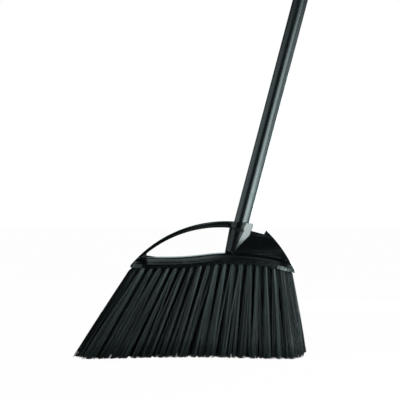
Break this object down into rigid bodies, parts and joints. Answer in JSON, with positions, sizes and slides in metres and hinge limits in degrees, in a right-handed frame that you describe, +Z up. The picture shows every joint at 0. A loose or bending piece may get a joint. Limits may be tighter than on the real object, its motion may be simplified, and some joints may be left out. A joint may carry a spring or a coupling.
{
  "type": "angle broom",
  "caption": "Angle broom: a slanted fan of flagged bristle tufts under a moulded black cap with a loop grip, socket post and side wing, on a tubular steel handle that screws in.",
  "frame": {"origin": "on the floor, where the handle's axis meets it, at the tip of the middle tuft of the column that follows the handle", "axes": "+Z up from the floor; +X along the sweep, from the long end of the brush towards the side the handle leans to; +Y from front to back"},
  "size_m": [0.5708, 0.0952, 1.3756],
  "materials": {
    "moulding": "satin moulded polypropylene, black",
    "bristle": "drawn PET filament, black",
    "coated_steel": "glossy black coating on thin steel tube",
    "wire": "zinc plated"
  },
  "bodies": {
    "head": {"head_cap": "moulding", "brush_block": "moulding", "tuft_anchors": "wire", "block_screws": "wire", "tufts_01": "bristle", "tufts_02": "bristle", "tufts_03": "bristle", "tufts_04": "bristle", "tufts_05": "bristle", "tufts_06": "bristle", "tufts_07": "bristle", "tufts_08": "bristle", "tufts_09": "bristle", "tufts_10": "bristle", "tufts_11": "bristle", "tufts_12": "bristle", "tufts_13": "bristle", "tufts_14": "bristle", "tufts_15": "bristle", "tufts_16": "bristle", "tufts_17": "bristle", "tufts_18": "bristle", "tufts_19": "bristle", "tufts_20": "bristle"},
    "hanger": {"hanger": "moulding"},
    "handle": {"handle_tube": "coated_steel", "threaded_tip": "moulding", "end_plug": "moulding"}
  },
  "joints": [
    {"name": "handle_travel", "type": "slide", "parent": "head", "child": "hanger", "axis": [0.2554, 0, 0.9668], "range_m": [0, 0.0254]},
    {"name": "handle_turn", "type": "hinge", "parent": "hanger", "child": "handle", "pos_m": [0.04931, 0, 0.18664], "axis": [0.2554, 0, 0.9668], "range_deg": [0, 1800]}
  ],
  "couplings": [
    {"joint": "handle_turn", "follows": "handle_travel", "rad_per_m": 1236.8}
  ]
}
